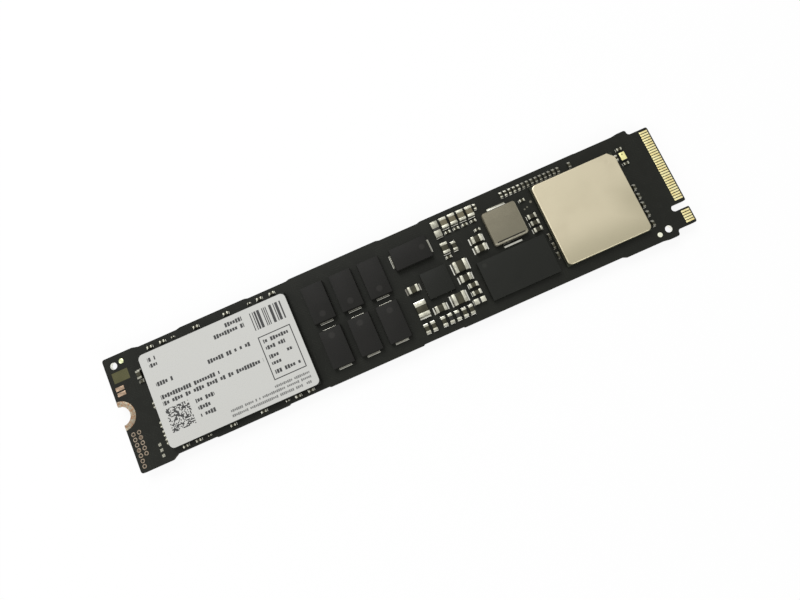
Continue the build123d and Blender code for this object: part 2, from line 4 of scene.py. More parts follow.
import bpy
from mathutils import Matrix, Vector

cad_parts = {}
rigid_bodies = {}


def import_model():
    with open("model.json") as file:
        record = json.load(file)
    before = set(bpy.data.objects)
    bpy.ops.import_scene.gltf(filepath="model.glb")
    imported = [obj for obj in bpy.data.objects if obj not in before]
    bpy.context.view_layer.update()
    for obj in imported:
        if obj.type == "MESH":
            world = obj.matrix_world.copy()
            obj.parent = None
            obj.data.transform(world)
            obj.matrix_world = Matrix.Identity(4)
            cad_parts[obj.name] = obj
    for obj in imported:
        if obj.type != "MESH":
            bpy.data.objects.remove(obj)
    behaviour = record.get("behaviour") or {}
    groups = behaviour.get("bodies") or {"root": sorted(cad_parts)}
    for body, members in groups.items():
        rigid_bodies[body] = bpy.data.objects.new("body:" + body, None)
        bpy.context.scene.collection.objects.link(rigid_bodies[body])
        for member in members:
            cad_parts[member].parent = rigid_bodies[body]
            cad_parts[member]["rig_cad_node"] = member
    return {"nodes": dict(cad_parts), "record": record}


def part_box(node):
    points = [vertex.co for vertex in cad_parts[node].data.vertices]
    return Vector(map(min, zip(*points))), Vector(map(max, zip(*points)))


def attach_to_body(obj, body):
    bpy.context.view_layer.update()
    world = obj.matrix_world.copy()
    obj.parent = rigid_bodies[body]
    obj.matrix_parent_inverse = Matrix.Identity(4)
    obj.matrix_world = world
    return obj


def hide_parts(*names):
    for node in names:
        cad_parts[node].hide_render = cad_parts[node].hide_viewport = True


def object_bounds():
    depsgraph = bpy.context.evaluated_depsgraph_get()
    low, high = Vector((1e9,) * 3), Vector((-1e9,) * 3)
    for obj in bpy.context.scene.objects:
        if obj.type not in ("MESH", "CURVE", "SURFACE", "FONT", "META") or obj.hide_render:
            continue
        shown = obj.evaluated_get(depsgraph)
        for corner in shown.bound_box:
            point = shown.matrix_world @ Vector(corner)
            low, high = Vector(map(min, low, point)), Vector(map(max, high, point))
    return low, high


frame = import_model()
cadLow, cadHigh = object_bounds()
nodes = frame["nodes"]
slotOf = {row["node"]: row["material_slot"] for row in frame["record"]["subparts"]}
mm = 0.001
perMetre = 1000.0  # millimetres
print("frame loaded:", len(nodes), "nodes")


class Tap:  # one shader socket that takes part in sums
    def __init__(self, tree, socket=None):
        self.tree = tree
        self.socket = socket

    def add(self, kind, settings=None, inputs=None, output=0):
        node = self.tree.nodes.new(kind)
        for name, value in (settings or {}).items():
            setattr(node, name, value)
        for key, value in (inputs or {}).items():
            if isinstance(value, Tap):
                self.tree.links.new(value.socket, node.inputs[key])
            else:
                node.inputs[key].default_value = value
        return Tap(self.tree, node.outputs[output])

    def sums(self, operation, first, second=0.0):
        return self.add("ShaderNodeMath", {"operation": operation}, {0: first, 1: second})

    def __add__(self, other):
        return self.sums("ADD", self, other)

    def __sub__(self, other):
        return self.sums("SUBTRACT", self, other)

    def __rsub__(self, other):
        return self.sums("SUBTRACT", other, self)

    def __mul__(self, other):
        return self.sums("MULTIPLY", self, other)

    def __truediv__(self, other):
        return self.sums("DIVIDE", self, other)

    def __mod__(self, other):
        return self.sums("FLOORED_MODULO", self, other)

    def __gt__(self, other):
        return self.sums("GREATER_THAN", self, other)

    def __lt__(self, other):
        return self.sums("LESS_THAN", self, other)

    def __abs__(self):
        return self.sums("ABSOLUTE", self)

    def __pow__(self, other):
        return self.sums("POWER", self, other)

    __radd__ = __add__
    __rmul__ = __mul__

    def larger(self, other):
        return self.sums("MAXIMUM", self, other)

    def smaller(self, other):
        return self.sums("MINIMUM", self, other)

    def floor(self):
        return self.sums("FLOOR", self)

    def spread(self, low, high, newLow=0.0, newHigh=1.0):
        return self.add("ShaderNodeMapRange", {"interpolation_type": "SMOOTHSTEP"},
                        {0: self, 1: low, 2: high, 3: newLow, 4: newHigh})

    def blend(self, first, second):  # self is the share of the second colour
        return self.add("ShaderNodeMix", {"data_type": "RGBA"}, {0: self, 6: first, 7: second}, 2)

    def axis(self, number):  # 0, 1, 2 for x, y, z
        return self.add("ShaderNodeSeparateXYZ", {}, {0: self}, number)


def tint(red, green, blue):  # screen values 0 to 255 to a linear colour
    def linear(value):
        value = value / 255
        return value / 12.92 if value <= 0.04045 else ((value + 0.055) / 1.055) ** 2.4
    return (linear(red), linear(green), linear(blue), 1.0)


def ripple(value, pitch):  # distance from the middle of each pitch, up to a half
    return abs((value / pitch) % 1.0 - 0.5)


def between(low, high, share):
    return low + (high - low) * share


class Finish:  # a material, its shader and the place on the piece in millimetres
    def __init__(self, name, metallic=0.0, specular=0.5):
        self.material = bpy.data.materials.new(name)
        self.material.use_nodes = True
        tree = self.material.node_tree
        self.shader = tree.nodes["Principled BSDF"]
        self.tap = Tap(tree)
        coords = self.tap.add("ShaderNodeTexCoord", output="Object")
        self.place = self.tap.add("ShaderNodeVectorMath", {"operation": "SCALE"}, {0: coords, "Scale": perMetre})
        self.x, self.y, self.z = (self.place.axis(number) for number in range(3))
        self.set("Metallic", metallic)
        self.set("Specular IOR Level", specular)

    def set(self, socket, value):
        if isinstance(value, Tap):
            self.tap.tree.links.new(value.socket, self.shader.inputs[socket])
        else:
            self.shader.inputs[socket].default_value = value

    def noise(self, scale, detail=2.0, roughness=0.5, place=None):
        return self.tap.add("ShaderNodeTexNoise", {}, {"Vector": place or self.place, "Scale": scale,
                                                       "Detail": detail, "Roughness": roughness})

    def chance(self, across, along=0.0):  # a random share for each pair of whole numbers
        seed = self.tap.add("ShaderNodeCombineXYZ", {}, {0: across, 1: along})
        return self.tap.add("ShaderNodeTexWhiteNoise", {"noise_dimensions": "2D"}, {"Vector": seed})

    def stretched(self, *shares):
        return self.tap.add("ShaderNodeVectorMath", {"operation": "MULTIPLY"}, {0: self.place, 1: shares})

    def level(self, low, high):  # how far a face lies flat
        return abs(self.tap.add("ShaderNodeNewGeometry", output="Normal").axis(2)).spread(low, high)

    def inside(self, x0, x1, y0, y1, soft=0.03):  # soft-edged box seen from above
        across = abs(self.x - (x0 + x1) / 2) - (x1 - x0) / 2
        along = abs(self.y - (y0 + y1) / 2) - (y1 - y0) / 2
        return across.larger(along).spread(soft, -soft)

    def round(self, cx, cy, radius, soft=0.04):
        reach = ((self.x - cx) * (self.x - cx) + (self.y - cy) * (self.y - cy)) ** 0.5
        return (reach - radius).spread(soft, -soft)

    def bump(self, height, depth, strength):  # depth in millimetres
        self.set("Normal", self.tap.add("ShaderNodeBump", {}, {"Strength": strength, "Distance": depth * mm,
                                                               "Height": height}))


boardLook = {
    "mask": tint(24, 25, 21), "maskLight": tint(36, 37, 32), "specular": 0.12, "level": (0.4, 0.7), "upperFrom": 1.9,
    "areaScale": 0.22, "slantFrom": 0.44, "acrossFrom": 0.58, "patchScale": 0.5, "patchFrom": 0.5,
    "trackPitches": (0.42, 0.5, 0.6), "trackEdge": (0.22, 0.3), "trackShare": 0.22, "trackHeight": 0.5,
    "viaScale": 0.62, "viaEdge": (0.12, 0.08), "viaShare": 0.3, "viaHeight": 0.4, "viaSmooth": 0.05,
    "broadScale": 0.08, "broadShare": 0.5, "grainScale": 16.0, "grainHeight": 0.12, "grainRough": 0.08,
    "window": (-54.15, -51.05, 5.95, 7.95), "windowSoft": 0.02, "bareDark": tint(66, 65, 40), "bare": tint(100, 98, 70),
    "weavePitch": 0.28, "weaveEdge": (0.2, 0.8), "weaveShare": 0.3, "weaveHeight": 0.4,
    "bareGrain": 0.2, "bareScale": 0.5, "bareShare": 0.5,
    "edgeDark": tint(30, 29, 24), "edge": tint(58, 54, 42), "layerPitch": 0.16, "layerEdge": (0.1, 0.4),
    "layerShare": 0.5, "fibreScale": 9.0, "fibreStretch": (1.0, 1.0, 4.0), "fibreShare": 0.5,
    "pads": [(29.2, 5.8, 0.24), (27.6, 4.95, 0.16), (28.2, 5.15, 0.16)], "pad": tint(112, 110, 98),
    "holes": [(-53.2, 9.15, 0.72), (49.6, -9.15, 0.72)], "holeWall": tint(238, 238, 232),
    "faceRough": 0.4, "edgeRough": 0.3, "depth": 0.02, "strength": 0.5,
}


def boardFinish():
    look = boardLook
    f = Finish("boardMask", specular=look["specular"])
    flat = f.stretched(1.0, 1.0, 0.0)
    top = f.level(*look["level"])
    upper = f.z > look["upperFrom"]
    grain = f.noise(look["grainScale"], detail=3.0)
    # routed tracks under the mask: lines along, across and on the slant, chosen by area
    along, across, slant = (ripple(value, pitch).spread(*look["trackEdge"])
                            for value, pitch in zip((f.y, f.x, f.x + f.y), look["trackPitches"]))
    area = f.noise(look["areaScale"], detail=1.0)
    slantArea = (area > look["slantFrom"]) * (area < look["acrossFrom"])
    tracks = along * (area < look["slantFrom"]) + across * (area > look["acrossFrom"]) + slant * slantArea
    tracks = tracks * (f.noise(look["patchScale"], detail=0.0, place=flat) > look["patchFrom"])
    # covered vias
    viaReach = f.tap.add("ShaderNodeTexVoronoi", {"voronoi_dimensions": "2D"},
                         {"Vector": flat, "Scale": look["viaScale"]})
    via = viaReach.spread(*look["viaEdge"])
    light = f.noise(look["broadScale"]) * look["broadShare"] + tracks * look["trackShare"] + via * look["viaShare"]
    mask = light.blend(look["mask"], look["maskLight"])
    # bare laminate in the window, and on the cut edge
    window = f.inside(*look["window"], soft=look["windowSoft"]) * upper
    weave = (ripple(f.x, look["weavePitch"]) + ripple(f.y, look["weavePitch"])).spread(*look["weaveEdge"])
    light = weave * look["weaveShare"] + grain * look["bareGrain"] + f.noise(look["bareScale"]) * look["bareShare"]
    bare = light.blend(look["bareDark"], look["bare"])
    layers = ripple(f.z, look["layerPitch"]).spread(*look["layerEdge"])
    fibres = f.noise(look["fibreScale"], place=f.stretched(*look["fibreStretch"]))
    edge = (layers * look["layerShare"] + fibres * look["fibreShare"]).blend(look["edgeDark"], look["edge"])
    face = window.blend(mask, bare)
    for pad in look["pads"]:  # bare lands with no chip on them
        face = (f.round(*pad) * upper).blend(face, look["pad"])
    wall = sum((f.round(*hole) for hole in look["holes"]), 0.0) * (1 - top)  # plated walls of the tooling holes
    f.set("Base Color", top.blend(wall.blend(edge, look["holeWall"]), face))
    f.set("Metallic", wall)
    f.set("Roughness", (1 - top) * look["edgeRough"] + look["faceRough"]
          + grain * look["grainRough"] - via * look["viaSmooth"])
    masked = (tracks * look["trackHeight"] + via * look["viaHeight"]) * top * (1 - window)
    f.bump(masked + grain * look["grainHeight"] + weave * window * look["weaveHeight"], look["depth"], look["strength"])
    return f.material


goldLook = {
    "gold": tint(238, 228, 172), "warm": tint(222, 198, 124), "driftScale": 1.1, "drift": (0.4, 0.7), "warmShare": 0.55,
    # the dot colours are painted reflection, paler than the fingers
    "fingersFrom": 50.0, "dot": tint(212, 218, 172), "paleDot": tint(232, 233, 212),
    "wipeScale": 2.2, "wipeStretch": (0.35, 9.0, 1.0), "wipeRough": 0.22, "leastRough": 0.16,
    "wipeHeight": 0.6, "grainScale": 30.0, "grainHeight": 0.4, "depth": 0.004, "strength": 0.5,
}


def goldFinish():
    look = goldLook
    f = Finish("goldPlating", metallic=1.0)
    drift = f.noise(look["driftScale"]).spread(*look["drift"])
    wipes = f.noise(look["wipeScale"], place=f.stretched(*look["wipeStretch"]))
    fingers = (drift * look["warmShare"]).blend(look["gold"], look["warm"])
    # painted reflection: the alignment dots are paler than the fingers and the right-hand one palest, standing in for
    # bright reflections
    sheenDots = (f.x > 0.0).blend(look["dot"], look["paleDot"])
    f.set("Base Color", (f.x > look["fingersFrom"]).blend(sheenDots, fingers))
    f.set("Roughness", wipes * look["wipeRough"] + look["leastRough"])
    height = wipes * look["wipeHeight"] + f.noise(look["grainScale"]) * look["grainHeight"]
    f.bump(height, look["depth"], look["strength"])
    return f.material


# the dark colours paint the darker places below and painted shade, on steep solder sides and by the inductor lead
tinLook = {"bright": tint(190, 189, 174), "dull": tint(134, 133, 120), "dark": tint(50, 49, 45), "steepShare": 0.0,
           "leastRough": 0.3, "depth": 0.008}
solderLook = {"bright": tint(212, 212, 202), "dull": tint(178, 177, 167), "dark": tint(108, 106, 98), "steepShare": 1.0,
              "leastRough": 0.11, "depth": 0.003}
tarnishAndShadeLook = {
    "grainScale": 7.0, "grain": (0.35, 0.75), "grainShare": 0.5, "grainRough": 0.3, "strength": 0.5,
    "chipScale": 0.9, "chip": (0.4, 0.62), "chipShare": 0.5, "spared": 0.3, "steep": (0.8, 0.5), "areaSoft": 0.15,
    "leadShade": (19.5, 26.5, 0.1, 1.2), "shadeSoft": 0.1,
    # places where the metal is darker: x0, x1, y0, y1 and how far; beside the controller and on the inductor lead wall
    # this is painted shade
    "areas": {"leftOfController": (28.2, 29.9, -8.2, 0.2, 0.97), "rightOfController": (46.5, 47.9, -8.4, 1.3, 0.6),
              "rowAboveController": (28.7, 40.0, 8.2, 10.2, 0.6), "testPads": (-51.2, -49.8, -10.6, -6.8, 0.55),
              "fuse": (10.0, 11.95, 6.4, 10.0, 0.35), "tinyByLabel": (-50.6, -48.4, 3.9, 4.9, 0.85),
              "smallByLabel": (-50.6, -48.4, 4.9, 7.1, 0.5), "leftFoot": (1.1, 1.82, -1.4, 0.8, 0.95),
              "rightFoot": (4.0, 4.6, -1.4, 0.8, 0.95), "caseMiddles": (-17.0, 0.0, -1.5, 1.5, 0.5),
              "caseBacks": (-17.0, 0.0, 7.5, 9.2, 0.5), "caseFronts": (-17.0, 0.0, -9.2, -7.5, 0.5),
              "loneCase": (0.6, 9.4, 4.3, 7.4, 0.4), "leadFoot": (20.5, 25.0, -0.6, 0.6, 0.3),
              "leadWall": (19.5, 26.5, 0.15, 1.2, 0.95), "leadBack": (20.5, 25.0, 7.2, 8.2, 0.2),
              "leadBackToe": (19.5, 26.5, 7.7, 8.4, 0.8)},
}


def tinFinish(name, tone):
    look = tarnishAndShadeLook
    f = Finish(name, metallic=1.0)
    grains = f.noise(look["grainScale"], detail=3.0)
    chips = f.noise(look["chipScale"], detail=1.0).spread(*look["chip"])
    share = grains.spread(*look["grain"]) * look["grainShare"] + chips * look["chipShare"]
    plain = share.blend(tone["bright"], tone["dull"])
    # darker places, with painted shade beside the controller and on the inductor lead wall
    patchStrength = sum((f.inside(*area, soft=look["areaSoft"]) * darkShare for *area, darkShare in look["areas"].values()), 0.0)
    steep = f.level(*look["steep"]) * tone["steepShare"]  # painted shade: the climbing sides are darkened, standing in for the dark board they reflect
    # painted shade: the joints by the inductor lead take the darker tin colour
    dark = f.inside(*look["leadShade"], soft=look["shadeSoft"]).blend(tone["dark"], tinLook["dark"])
    f.set("Base Color", (patchStrength * (1.0 - chips * look["spared"])).larger(steep).blend(plain, dark))
    f.set("Roughness", grains * look["grainRough"] + tone["leastRough"])
    f.bump(grains, tone["depth"], look["strength"])
    return f.material


platedLook = {
    "plated": tint(140, 133, 117), "warm": tint(134, 106, 83), "dark": tint(88, 76, 64),
    "testRing": tint(128, 117, 103), "ringsBelow": -3.2, "ringShare": 0.4,
    "filledRings": [(-54.1, -6.9), (-52.95, -4.9)], "fillRadius": 0.27, "fillSoft": 0.1,
    "patchScale": 2.6, "patchDetail": 4.0, "patchGrit": 0.6, "patch": (0.42, 0.6), "patchHeight": 0.5,
    "grainScale": 11.0, "grain": (0.55, 0.75), "grainShare": 0.5, "grainHeight": 0.5, "grainRough": 0.3,
    "leastRough": 0.3, "depth": 0.02, "strength": 0.5,
}


def mottledFinish():
    look = platedLook
    f = Finish("tinnedCopper", metallic=1.0)
    patches = f.noise(look["patchScale"], look["patchDetail"], look["patchGrit"]).spread(*look["patch"])
    grains = f.noise(look["grainScale"], detail=3.0)
    notchRing = patches.blend(look["plated"], look["warm"])
    testRings = (patches * look["ringShare"]).blend(look["testRing"], look["dark"])
    base = (f.y > look["ringsBelow"]).blend(testRings, notchRing)
    for cx, cy in look["filledRings"]:
        base = f.round(cx, cy, look["fillRadius"], look["fillSoft"]).blend(base, look["dark"])
    f.set("Base Color", (grains.spread(*look["grain"]) * look["grainShare"]).blend(base, look["dark"]))
    f.set("Roughness", grains * look["grainRough"] + look["leastRough"])
    f.bump(grains * look["grainHeight"] + patches * look["patchHeight"], look["depth"], look["strength"])
    return f.material


copperLook = {"copper": tint(149, 129, 110), "dull": tint(114, 95, 78), "dullShare": 0.7,
              "brushScale": 4.0, "brushStretch": (0.5, 4.0, 1.0), "brush": (0.4, 0.75), "brushRough": 0.25,
              "leastRough": 0.28, "depth": 0.006, "strength": 0.5}


def copperFinish():
    look = copperLook
    f = Finish("bareCopper", metallic=1.0)
    brush = f.noise(look["brushScale"], detail=3.0, place=f.stretched(*look["brushStretch"]))
    f.set("Base Color", (brush.spread(*look["brush"]) * look["dullShare"]).blend(look["copper"], look["dull"]))
    f.set("Roughness", brush * look["brushRough"] + look["leastRough"])
    f.bump(brush, look["depth"], look["strength"])
    return f.material


lidLook = {
    "plate": tint(199, 190, 164), "plateDark": tint(184, 175, 150), "plateLow": tint(168, 161, 136),
    "brushScale": 3.0, "brushStretch": (0.25, 6.0, 1.0), "brushShare": 0.25, "brushHeight": 0.25, "brushRough": 0.12,
    "broadScale": 0.13, "broad": (0.35, 0.7), "broadShare": 0.6, "broadHeight": 1.5,
    "speckScale": 26.0, "speckHeight": 0.25, "leastRough": 0.3, "depth": 0.01, "strength": 0.6,
    "dot": (44.6, 6.6, 0.4), "dotSoft": 0.12, "dotShare": 0.15, "dotDepth": 2.0,
    # painted shade: dimmer to the right and at the front, as if lit from the upper left, as shares of the lid's length
    # and width
    "rightFrom": 0.6, "rightShare": 0.6, "bandTop": 0.8, "bandLow": 0.4, "frontShare": 0.9,
}


def lidFinish():
    look = lidLook
    f = Finish("nickelPlate", metallic=1.0)
    brush = f.noise(look["brushScale"], detail=3.0, place=f.stretched(*look["brushStretch"]))
    broad = f.noise(look["broadScale"])
    dot = f.round(*look["dot"], soft=look["dotSoft"])
    share = broad.spread(*look["broad"]) * look["broadShare"] + brush * look["brushShare"] + dot * look["dotShare"]
    low, high = (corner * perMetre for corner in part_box("controller_lid"))
    # painted shade: the plate darkens to the right and towards the front
    bandLow = between(low.y, high.y, look["bandLow"])
    right = f.x.spread(between(low.x, high.x, look["rightFrom"]), high.x, 0.0, look["rightShare"])
    right = right * f.y.spread(between(low.y, high.y, look["bandTop"]), bandLow)
    paintedDimming = right.larger(f.y.spread(bandLow, low.y, 0.0, look["frontShare"]))
    f.set("Base Color", paintedDimming.blend(share.blend(look["plate"], look["plateDark"]), look["plateLow"]))
    f.set("Roughness", brush * look["brushRough"] + look["leastRough"])
    height = brush * look["brushHeight"] + f.noise(look["speckScale"]) * look["speckHeight"]
    f.bump(height + broad * look["broadHeight"] - dot * look["dotDepth"], look["depth"], look["strength"])
    return f.material


mouldLook = {
    "specular": 0.12, "fineScale": 14.0, "fineDetail": 4.0, "fineGrit": 0.6, "fine": (0.35, 0.8), "fineShare": 0.45,
    "broadScale": 0.35, "broadShare": 0.3, "markSoft": 0.18, "markShare": 0.75, "markDepth": 1.2,
    "fineRough": 0.2, "leastRough": 0.45, "depth": 0.012, "strength": 0.6,
}
packageLook = {"base": tint(27, 28, 25), "light": tint(40, 41, 37), "marks": [(16.2, -1.75, 0.4)]}
caseLook = {"base": tint(23, 23, 21), "light": tint(43, 42, 40),
            "marks": [(-14.0, 2.2, 0.55), (-8.5, 2.3, 0.55), (-2.8, 2.2, 0.55),
                      (-14.0, -2.1, 0.55), (-8.5, -2.1, 0.55), (-2.7, -2.2, 0.55), (7.3, 6.1, 0.5)]}


def mouldFinish(name, tone):
    look = mouldLook
    f = Finish(name, specular=look["specular"])
    height = fine = f.noise(look["fineScale"], look["fineDetail"], look["fineGrit"])
    share = fine.spread(*look["fine"]) * look["fineShare"] + f.noise(look["broadScale"]) * look["broadShare"]
    for mark in tone["marks"]:  # round ejector dents
        dent = f.round(*mark, soft=look["markSoft"])
        share = share + dent * look["markShare"]
        height = height - dent * look["markDepth"]
    f.set("Base Color", share.smaller(1.0).blend(tone["base"], tone["light"]))
    f.set("Roughness", fine * look["fineRough"] + look["leastRough"])
    f.bump(height, look["depth"], look["strength"])
    return f.material


coreLook = {
    "base": tint(131, 126, 108), "dark": tint(90, 85, 70), "low": tint(112, 108, 92), "lowShare": 0.7,
    "metallic": 0.35, "specular": 0.3, "fineScale": 18.0, "fineDetail": 4.0, "fineGrit": 0.65, "fine": (0.3, 0.8),
    "fineShare": 0.6, "broadScale": 0.5, "broadShare": 0.35, "fineRough": 0.25, "leastRough": 0.36,
    # the rim colour is a painted highlight; wear here only breaks it up with noise
    "rim": tint(160, 156, 138), "rimWidth": 0.17, "rimSoft": 0.03, "frontSoft": 0.02,
    "wearScale": 3.0, "wear": (0.3, 0.6), "wearShare": 0.5, "leastRim": 0.4,
    # the groove colour is painted shade in the groove
    "groove": tint(22, 19, 13), "grooveInset": 0.42, "grooveWidth": 0.13, "grooveEnd": 0.55, "grooveSoft": 0.04,
    "grooveDepth": 2.0, "depth": 0.015, "strength": 0.6,
}


def coreFinish():
    look = coreLook
    f = Finish("pressedCore", metallic=look["metallic"], specular=look["specular"])
    low, high = (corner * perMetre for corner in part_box("inductor_core"))
    fine = f.noise(look["fineScale"], look["fineDetail"], look["fineGrit"])
    share = fine.spread(*look["fine"]) * look["fineShare"] + f.noise(look["broadScale"]) * look["broadShare"]
    face = share.blend(look["base"], look["dark"])
    face = f.y.spread(high.y, low.y, 0.0, look["lowShare"]).blend(face, look["low"])
    # painted highlight: a lighter rim to the right and at the front, where the chamfer would catch the light, broken up
    # by noise
    line = low.y + look["grooveInset"]
    right = (f.x - high.x + look["rimWidth"]).spread(-look["rimSoft"], look["rimSoft"])
    front = (f.y - line).spread(look["frontSoft"], -look["frontSoft"])
    patchStrength = f.noise(look["wearScale"]).spread(*look["wear"]) * look["wearShare"] + look["leastRim"]
    face = (right.larger(front) * patchStrength).blend(face, look["rim"])
    # painted shade: the groove along the front is painted near black over a shallow bump
    groove = f.inside(low.x + look["grooveEnd"], high.x - look["grooveEnd"],
                      line - look["grooveWidth"], line + look["grooveWidth"], look["grooveSoft"])
    f.set("Base Color", groove.blend(face, look["groove"]))
    f.set("Roughness", fine * look["fineRough"] + look["leastRough"])
    f.bump(fine - groove * look["grooveDepth"], look["depth"], look["strength"])
    return f.material


ceramicLook = {"specular": 0.16, "fineScale": 12.0, "fineShare": 0.4, "pieceScale": 0.6, "piece": (0.35, 0.65),
               "pieceShare": 0.6, "fineRough": 0.2, "depth": 0.01, "strength": 0.4, "upperRow": (11.8, 19.0, 7.4, 10.0)}
laminateLook = {"base": tint(34, 38, 32), "light": tint(50, 54, 44), "leastRough": 0.4}
siliconLook = {"base": tint(88, 90, 96), "light": tint(110, 112, 118), "leastRough": 0.2}
pasteLook = {"base": tint(180, 180, 178), "light": tint(196, 196, 194), "leastRough": 0.6}
chipLook = {"base": tint(47, 46, 36), "light": tint(70, 68, 53), "leastRough": 0.35, "upperRow": tint(109, 103, 83)}
darkChipLook = {"base": tint(38, 38, 36), "light": tint(58, 57, 54), "leastRough": 0.3}


def ceramicFinish(name, tone):
    look = ceramicLook
    f = Finish(name, specular=look["specular"])
    fine = f.noise(look["fineScale"], detail=3.0)
    piece = f.noise(look["pieceScale"], detail=1.0).spread(*look["piece"])
    body = (fine * look["fineShare"] + piece * look["pieceShare"]).blend(tone["base"], tone["light"])
    if "upperRow" in tone:  # a paler row of chips by the upper edge
        body = f.inside(*look["upperRow"]).blend(body, tone["upperRow"])
    f.set("Base Color", body)
    f.set("Roughness", fine * look["fineRough"] + tone["leastRough"])
    f.bump(fine, look["depth"], look["strength"])
    return f.material


crystalLook = {"cover": tint(238, 234, 172), "warm": tint(214, 203, 128), "fineScale": 6.0, "warmShare": 0.7,
               "markAcross": 0.45, "markAlong": 0.72, "markRadius": 0.15, "markSoft": 0.05, "mark": tint(70, 66, 34),
               "markShare": 0.8, "fineRough": 0.2, "leastRough": 0.22, "depth": 0.008, "strength": 0.5}


def crystalFinish():
    look = crystalLook
    f = Finish("crystalCover", metallic=1.0)
    fine = f.noise(look["fineScale"], detail=3.0)
    low, high = (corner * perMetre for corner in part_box("crystal_lid"))
    mark = f.round(between(low.x, high.x, look["markAcross"]), between(low.y, high.y, look["markAlong"]),
                   look["markRadius"], look["markSoft"])
    cover = (fine * look["warmShare"]).blend(look["cover"], look["warm"])
    f.set("Base Color", (mark * look["markShare"]).blend(cover, look["mark"]))
    f.set("Roughness", fine * look["fineRough"] + look["leastRough"])
    f.bump(fine, look["depth"], look["strength"])
    return f.material


labelLook = {
    "film": tint(202, 202, 198), "filmDark": tint(194, 194, 189), "ink": tint(54, 54, 54), "fine": tint(120, 120, 118),
    "specular": 0.35, "fibreScale": 10.0, "fibreShare": 0.3, "broadScale": 0.12, "broadShare": 0.5,
    # rows of plain word blocks: left, right, middle height, letter height
    "rows": [(-46.5, -45.0, 7.25, 0.75), (-46.5, -45.0, 6.1, 0.75), (-31.2, -27.9, 7.4, 0.8), (-34.3, -27.9, 6.15, 0.8),
             (-46.5, -43.3, 2.5, 0.8), (-36.4, -27.8, 2.5, 0.8), (-46.5, -35.1, 0.0, 0.8), (-46.5, -27.0, -1.2, 0.8),
             (-40.9, -37.3, -3.1, 0.8), (-40.9, -38.6, -4.45, 0.8), (-40.9, -38.0, -5.8, 0.8)],
    "fieldRows": [(-25.8, -21.0, 1.8, 0.75), (-25.8, -22.1, 0.5, 0.75), (-25.8, -21.3, -1.2, 0.75),
                  (-25.8, -23.1, -2.5, 0.75), (-25.8, -20.8, -4.1, 0.75)],
    "fineRows": [(-26.9, -20.2, -6.5, 0.5), (-35.8, -20.2, -7.3, 0.5), (-35.8, -20.4, -8.2, 0.5)],
    "blockPitch": 0.52, "finePitch": 0.34, "blockWidth": 0.78, "blankShare": 0.13,
    "tallFrom": 0.55, "tallExtra": 0.15, "lowHalf": 0.35, "rowSeed": 7.0,
    "code": (-46.6, -42.1, -6.65, -2.25), "codeCells": 22, "codeFrom": 0.5, "codeSoft": 0.01,
    "bars": (-26.4, -20.3, 4.2, 7.6), "barWidth": 0.17, "barFrom": 0.48, "barSoft": 0.01,
    "field": (-26.5, -20.2, -5.4, 2.9), "fieldLine": 0.18, "fieldSoft": 0.02,
    "fibreRough": 0.15, "leastRough": 0.4, "inkSmooth": 0.08, "fibreHeight": 0.4, "inkHeight": 0.5,
    "depth": 0.006, "strength": 0.4,
}


def wordBlocks(f, rows, pitch):
    look = labelLook
    column = f.x / pitch
    filled = column % 1.0 < look["blockWidth"]
    ink = None
    for x0, x1, middle, height in rows:
        chance = f.chance(column.floor(), middle * look["rowSeed"])
        half = (chance > look["tallFrom"]) * (height * look["tallExtra"]) + height * look["lowHalf"]
        row = f.inside(x0, x1, middle - height / 2, middle + height / 2) * (abs(f.y - middle) < half)
        row = row * (chance > look["blankShare"]) * filled
        ink = row if ink is None else ink.larger(row)
    return ink


def labelFinish():
    look = labelLook
    f = Finish("labelFilm", specular=look["specular"])
    fibre = f.noise(look["fibreScale"], detail=3.0)
    broad = f.noise(look["broadScale"])
    x0, x1, y0, y1 = look["code"]
    cell = (x1 - x0) / look["codeCells"]
    cells = f.chance(((f.x - x0) / cell).floor(), ((f.y - y0) / cell).floor()) > look["codeFrom"]
    code = f.inside(x0, x1, y0, y1, look["codeSoft"]) * cells
    stripes = f.chance((f.x / look["barWidth"]).floor()) > look["barFrom"]
    bars = f.inside(*look["bars"], soft=look["barSoft"]) * stripes
    x0, x1, y0, y1 = look["field"]
    line = look["fieldLine"]
    border = f.inside(x0, x1, y0, y1, look["fieldSoft"])
    border = border - f.inside(x0 + line, x1 - line, y0 + line, y1 - line, look["fieldSoft"])
    ink = wordBlocks(f, look["rows"] + look["fieldRows"], look["blockPitch"])
    ink = ink.larger(code).larger(border).larger(bars)
    film = (broad * look["broadShare"] + fibre * look["fibreShare"]).blend(look["film"], look["filmDark"])
    printed = wordBlocks(f, look["fineRows"], look["finePitch"]).blend(film, look["fine"])
    f.set("Base Color", ink.blend(printed, look["ink"]))
    f.set("Roughness", fibre * look["fibreRough"] + look["leastRough"] - ink * look["inkSmooth"])
    f.bump(fibre * look["fibreHeight"] + ink * look["inkHeight"], look["depth"], look["strength"])
    return f.material


finishes = {
    "board_mask": boardFinish(),
    "gold_plating": goldFinish(),
    "tinned_copper": mottledFinish(),
    "bare_copper": copperFinish(),
    "bright_tin": tinFinish("brightTin", tinLook),
    "solder": tinFinish("solderJoint", solderLook),
    "label_film": labelFinish(),
    "nickel_plate": lidFinish(),
    "package_laminate": ceramicFinish("packageLaminate", laminateLook),
    "silicon": ceramicFinish("silicon", siliconLook),
    "heat_paste": ceramicFinish("heatPaste", pasteLook),
    "pressed_core": coreFinish(),
    "moulding": mouldFinish("moulding", packageLook),
    "capacitor_case": mouldFinish("capacitorCase", caseLook),
    "chip_ceramic": ceramicFinish("chipCeramic", chipLook),
    "dark_ceramic": ceramicFinish("darkCeramic", darkChipLook),
    "crystal_cover": crystalFinish(),
}
print("finishes made:", len(finishes))


def clearSelection():
    bpy.ops.object.select_all(action="DESELECT")


def activate(piece):
    clearSelection()
    piece.select_set(True)
    bpy.context.view_layer.objects.active = piece


